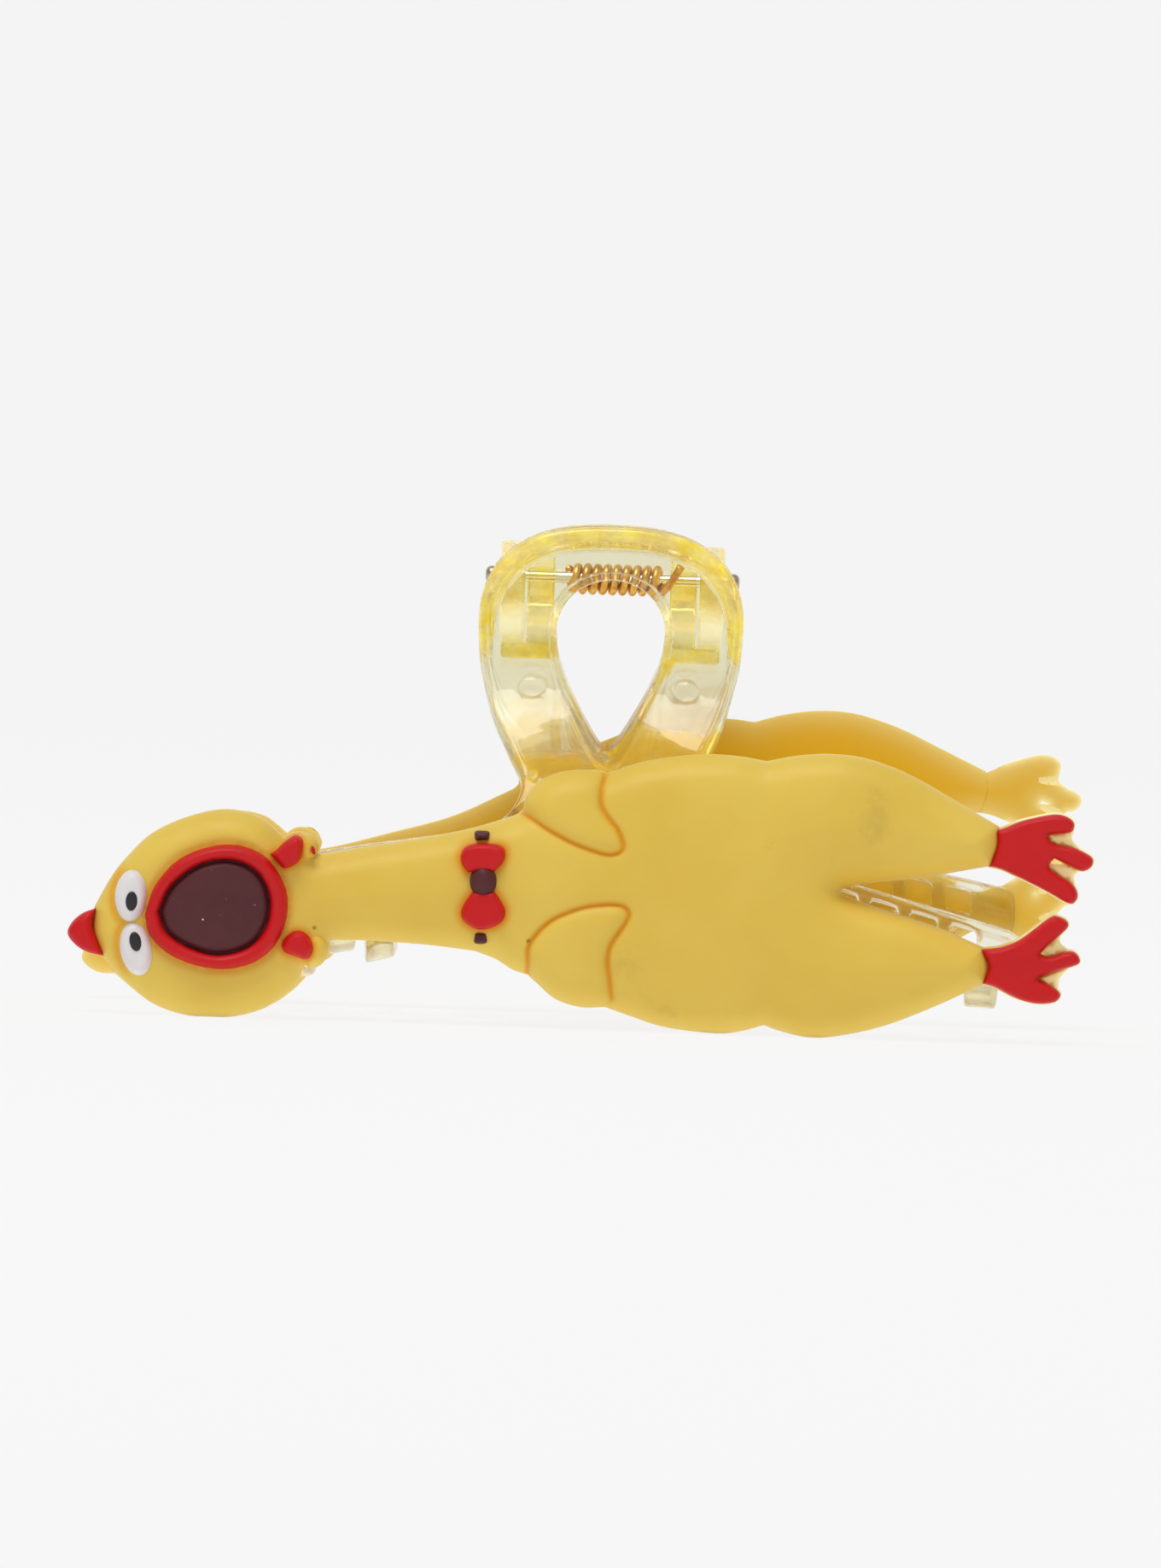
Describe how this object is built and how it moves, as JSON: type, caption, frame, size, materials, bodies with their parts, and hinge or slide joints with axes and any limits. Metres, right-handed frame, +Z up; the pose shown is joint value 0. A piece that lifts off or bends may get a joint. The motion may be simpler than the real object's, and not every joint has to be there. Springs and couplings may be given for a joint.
{
  "type": "novelty claw hair clip",
  "caption": "Two clear sprung jaws with looped finger handles and curved teeth, with a flat soft chicken on the outside of each jaw.",
  "frame": {"origin": "middle of the clip's underside, on the surface that it stands on", "axes": "+X along the hinge pin towards the chickens' feet, +Y from the front jaw to the rear jaw, +Z up towards the handles"},
  "size_m": [0.115, 0.054, 0.056],
  "materials": {
    "clear_plastic": "polished, transparent pale yellow",
    "steel": "drawn wire",
    "spring_metal": "gold-coloured spring wire",
    "yellow_pvc": "satin soft PVC",
    "red_pvc": "satin soft PVC",
    "maroon_pvc": "satin soft PVC",
    "white_pvc": "satin soft PVC",
    "black_pvc": "satin soft PVC"
  },
  "bodies": {
    "front_half": {"front_jaw": "clear_plastic", "hinge_pin": "steel", "torsion_spring": "spring_metal", "front_chicken_body": "yellow_pvc", "front_chicken_crest": "red_pvc", "front_chicken_foot_upper": "red_pvc", "front_chicken_foot_lower": "red_pvc", "front_chicken_lips": "red_pvc", "front_chicken_mouth": "maroon_pvc", "front_chicken_wattle_upper": "red_pvc", "front_chicken_wattle_lower": "red_pvc", "front_chicken_bow_upper": "red_pvc", "front_chicken_bow_lower": "red_pvc", "front_chicken_bow_knot": "maroon_pvc", "front_chicken_eye_upper": "white_pvc", "front_chicken_pupil_upper": "black_pvc", "front_chicken_eye_lower": "white_pvc", "front_chicken_pupil_lower": "black_pvc", "front_chicken_collar_upper": "maroon_pvc", "front_chicken_collar_lower": "maroon_pvc"},
    "rear_half": {"rear_jaw": "clear_plastic", "rear_chicken_body": "yellow_pvc", "rear_chicken_crest": "red_pvc", "rear_chicken_foot_upper": "red_pvc", "rear_chicken_foot_lower": "red_pvc", "rear_chicken_lips": "red_pvc", "rear_chicken_mouth": "maroon_pvc", "rear_chicken_wattle_upper": "red_pvc", "rear_chicken_wattle_lower": "red_pvc", "rear_chicken_bow_upper": "red_pvc", "rear_chicken_bow_lower": "red_pvc", "rear_chicken_bow_knot": "maroon_pvc", "rear_chicken_eye_upper": "white_pvc", "rear_chicken_pupil_upper": "black_pvc", "rear_chicken_eye_lower": "white_pvc", "rear_chicken_pupil_lower": "black_pvc", "rear_chicken_collar_upper": "maroon_pvc", "rear_chicken_collar_lower": "maroon_pvc"}
  },
  "joints": [
    {"name": "jaw_open", "type": "hinge", "parent": "front_half", "child": "rear_half", "pos_m": [0.00241, 0, 0.05], "axis": [1, 0, 0], "range_deg": [0, 60], "stiffness_Nm_per_rad": 0.08, "springref_deg": -45.84, "deforming": ["torsion_spring"]}
  ]
}
